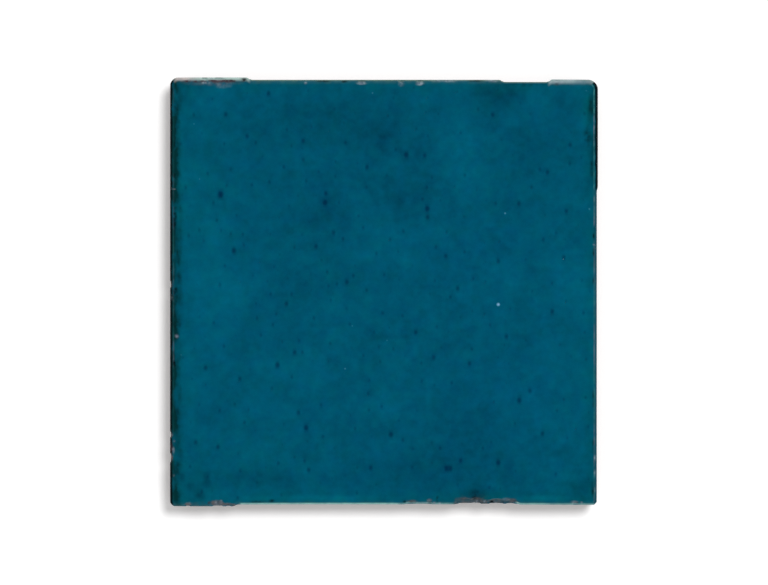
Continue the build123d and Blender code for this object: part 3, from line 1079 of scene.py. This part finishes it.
# Painted highlight: a fine light line where the arris catches the lamp
fine_line = stored("fine_line") * fade(past_hem, *HIGHLIGHT_INSIDE) * fade(past_hem, *HIGHLIGHT_OUTSIDE)
highlight_colour = mix(fade(patches(upright, 4), 0.42, 0.58), LILAC, AQUA)
sheer = mix(fine_line * (0.15 + broken * 0.5), sheer, highlight_colour)
# Painted shade: the arris drawn near black where it lies in shade
shade_hem_reach = SHADE_HEM_REACH + at_east * 0.14
black_hem = stored("black_hem") * fade(inset + wobble(1.8, 0.5, 3), shade_hem_reach, shade_hem_reach - SHADE_HEM_SOFT)
sheer = mix(black_hem * 0.97, sheer, NEAR_BLACK)
tell("the black hem")

# %% Find where the clay is bare
RUN_LEVEL = 7.6  # how far down the sides the glaze has run, more or less
RUN_WANDER = 5
TORN = (0.2, 0.8)
FLAKED_OFF = (0.25, 0.8)
CHIPS_END = (1, 1.9)  # in from the edge, where bare clay gives way to glaze
above_run = z_mm - wobble(7, RUN_WANDER, 3) - RUN_LEVEL
below_run = fade(above_run, 0.15, -0.15)
ragged = wobble(1.1, 1, 5)
flaked = fade(stored("flaked") + ragged, *FLAKED_OFF)
torn = fade(stored("chip") * (1 - at_top) * 0.7 + ragged, *TORN)
chipped = shader.maths("MAXIMUM", torn, flaked) * (0.1 + patches(place, 1.6, 3) * 1.1)
chipped = chipped * (1 - fade(inset, *CHIPS_END) * 0.75)
bare = shader.maths("MAXIMUM", chipped, below_run)
tell("the bare clay")

# %% Colour the clay
STAINED_FROM = (-10, 14)  # along X
raw_clay = mix(fade(patches(place, 0.8, 6), 0.25, 0.75), RAW_CLAY, RAW_CLAY_DARK)
clay = mix(fade(patches(place, 1.8, 4), 0.35, 0.65), CLAY, CLAY_DARK)
soaked = fade(x_mm, *STAINED_FROM) * 0.4 + patches(place, 0.9, 3) * 0.3
clay = mix(fade(chipped, 0.8, 0.2) * 0.4 + soaked, clay, STAINED)
clay = mix(below_run * (1 - chipped), clay, raw_clay)
fired_colour = mix(bare, sheer, clay)
tell("the clay's colour")

# %% Lay the burnt runs and the scuffs over both
burnt = mix(stored("brown"), NEAR_BLACK, BURNT_BROWN)
fired_colour = mix(stored("burn") * (0.1 + broken * 1.2), fired_colour, burnt)
scuff = stored("scuff") + stored("chip") * at_top * 0.3
chalky = mix(fade(patches(place, 0.9, 3), 0.4, 0.6), LILAC, CHALK)
fired_colour = mix(scuff * (0.15 + broken * 0.85), fired_colour, chalky)
tell("the scuffs")

# %% Put the shader together
COAT_ROUGHNESS = 0.08
CLAY_ROUGHNESS = 0.85
BUMP_DEPTH = 0.15  # mm
COAT_FROM = (0.06, 0.3)  # in from the edge
bump = shader.add(
    "ShaderNodeBump", {},
    {"Strength": 0.5, "Distance": BUMP_DEPTH * MM, "Height": bare * patches(place, 0.35, 3)},
)
below_arris = fade(z_mm, ARRIS_LEVEL - 0.1, ARRIS_LEVEL - 0.4)
glossy = shader.maths("MAXIMUM", fade(inset, *COAT_FROM), below_arris)
fired = shader.add(
    "ShaderNodeBsdfPrincipled", {},
    {
        "Base Color": fired_colour, "Roughness": CLAY_ROUGHNESS,
        "Specular IOR Level": 0, "Coat Weight": glossy * (1 - bare),
        "Coat Roughness": COAT_ROUGHNESS, "Normal": bump,
    },
)
shader.add("ShaderNodeOutputMaterial", {}, {"Surface": fired})
tell("the coat")

# %% [markdown]
# The skin stands for the imported tile. It rides on the tile's body and hides the imported facets. Its
# normals are smooth over the glaze and sharp where the back's walls meet.

# %% Hand the skin over to the frame
SHARP_ANGLE = radians(38)
tile.data.shade_smooth()
tile.data.set_sharp_from_angle(angle=SHARP_ANGLE)
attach(tile, "root")
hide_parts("tile")
print("piece", tile.name, "has", sum(len(face.vertices) - 2 for face in tile.data.polygons), "triangles")

# %% [markdown]
# The tile lies on a white sheet under a soft lamp, high up and a little to the right of its top
# edge, so that its shadow falls to the left and below. A lamp could light everything by itself, but
# its shadow would be black. Even light from all round fills it. Gloss is a mirror, and what it
# mirrors matters: straight above, where the camera is, the room is dark, so that the glaze keeps
# its depth, and it is bright lower down, beyond the top and right edges.

# %% Light the tile
FILL = 0.48  # share of the light that comes evenly from all round
LAMP_OFFSET = (radians(13.1), radians(14.8))  # from straight above, towards +X and towards +Y
LAMP_SIZE = radians(16.0)
BRIGHT_WAY = (0.25, 0.95)  # towards +X and towards +Y, where the room is brightest
WALLS_GLOW = (0.9, 0.5)  # how far up one looks, as a sine, where the walls start and are brightest
LEAST_GLOW = 0.12
MORE_GLOW = 0.45
MORE_FROM = (-0.2, 0.9)  # how far one looks that way, where it starts and is full
slope = Vector((tan(LAMP_OFFSET[0]), tan(LAMP_OFFSET[1]), 1.0)).normalized()
lamp_data = bpy.data.lights.new("lamp", "SUN")
lamp_data.energy = pi * (1 - FILL) / slope.z
lamp_data.angle = LAMP_SIZE
lamp = put_in_scene("lamp", lamp_data)
lamp.rotation_mode = "QUATERNION"
lamp.rotation_quaternion = slope.to_track_quat("Z", "Y")
lamp.visible_glossy = False

world = bpy.data.worlds.new("room")
world.use_nodes = True
bpy.context.scene.world = world
room = Nodes(world.node_tree)
east, north, up = room.parts(room.add("ShaderNodeTexCoord"))
ray = room.add("ShaderNodeLightPath", output="Is Camera Ray")
sideways = east * BRIGHT_WAY[0] + north * BRIGHT_WAY[1]
walls = room.fade(up, *WALLS_GLOW) * (LEAST_GLOW + room.fade(sideways, *MORE_FROM) * MORE_GLOW)
mirrored = ray.other("Is Glossy Ray")
strength = ray + (1.0 - ray) * (mirrored * walls + (1.0 - mirrored) * FILL)
lit = room.add("ShaderNodeBackground", {}, {"Color": (1, 1, 1, 1), "Strength": strength})
room.add("ShaderNodeOutputWorld", {}, {"Surface": lit})
print("lamp", round(lamp_data.energy, 2))

# %% Lay the sheet that the tile lies on
SHEET_SIZE = 6000.0  # mm
SHEET_GLOW = 0.15  # what the camera sees the sheet add, so that it is white all the way
paper = bpy.data.materials.new("white_sheet")
paper.use_nodes = True
sheet_nodes = Nodes(paper.node_tree)
seen = sheet_nodes.add("ShaderNodeLightPath", output="Is Camera Ray")
white = sheet_nodes.add("ShaderNodeBsdfDiffuse", {}, {"Color": (1, 1, 1, 1)})
glow = sheet_nodes.add("ShaderNodeEmission", {}, {"Strength": seen * SHEET_GLOW})
glowing = sheet_nodes.add("ShaderNodeAddShader", {}, {0: white, 1: glow})
sheet_nodes.add("ShaderNodeOutputMaterial", {}, {"Surface": glowing})
ground = square("ground", SHEET_SIZE / 2)
ground.data.materials.append(paper)
ground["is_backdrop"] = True
print("ground", SHEET_SIZE, "mm wide")

# %% [markdown]
# The camera hangs straight above, far enough off to see the sides hardly at all. A picture 768
# pixels wide takes in 180 mm, so the lens follows from the distance.

# %% Hang the camera
CAMERA_DISTANCE = 1500.0  # mm over the glazed face
VIEW_WIDTH = 179.42  # mm across the picture, at the height of the face
camera_data = bpy.data.cameras.new("camera")
camera_data.lens = camera_data.sensor_width * CAMERA_DISTANCE / VIEW_WIDTH
camera = put_in_scene("camera", camera_data)
camera.location = Vector((0, 0, tile_high.z / MM + CAMERA_DISTANCE)) * MM
bpy.context.scene.camera = camera
bpy.context.scene.view_settings.view_transform = "Standard"
print("lens", round(camera_data.lens, 1))

# %% Note the sizes and finish
skin_low, skin_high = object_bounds()
past = [*(cad_low - skin_low), *(skin_high - cad_high)]
print("past the packed tile by", [round(size / MM, 3) for size in past], "mm")
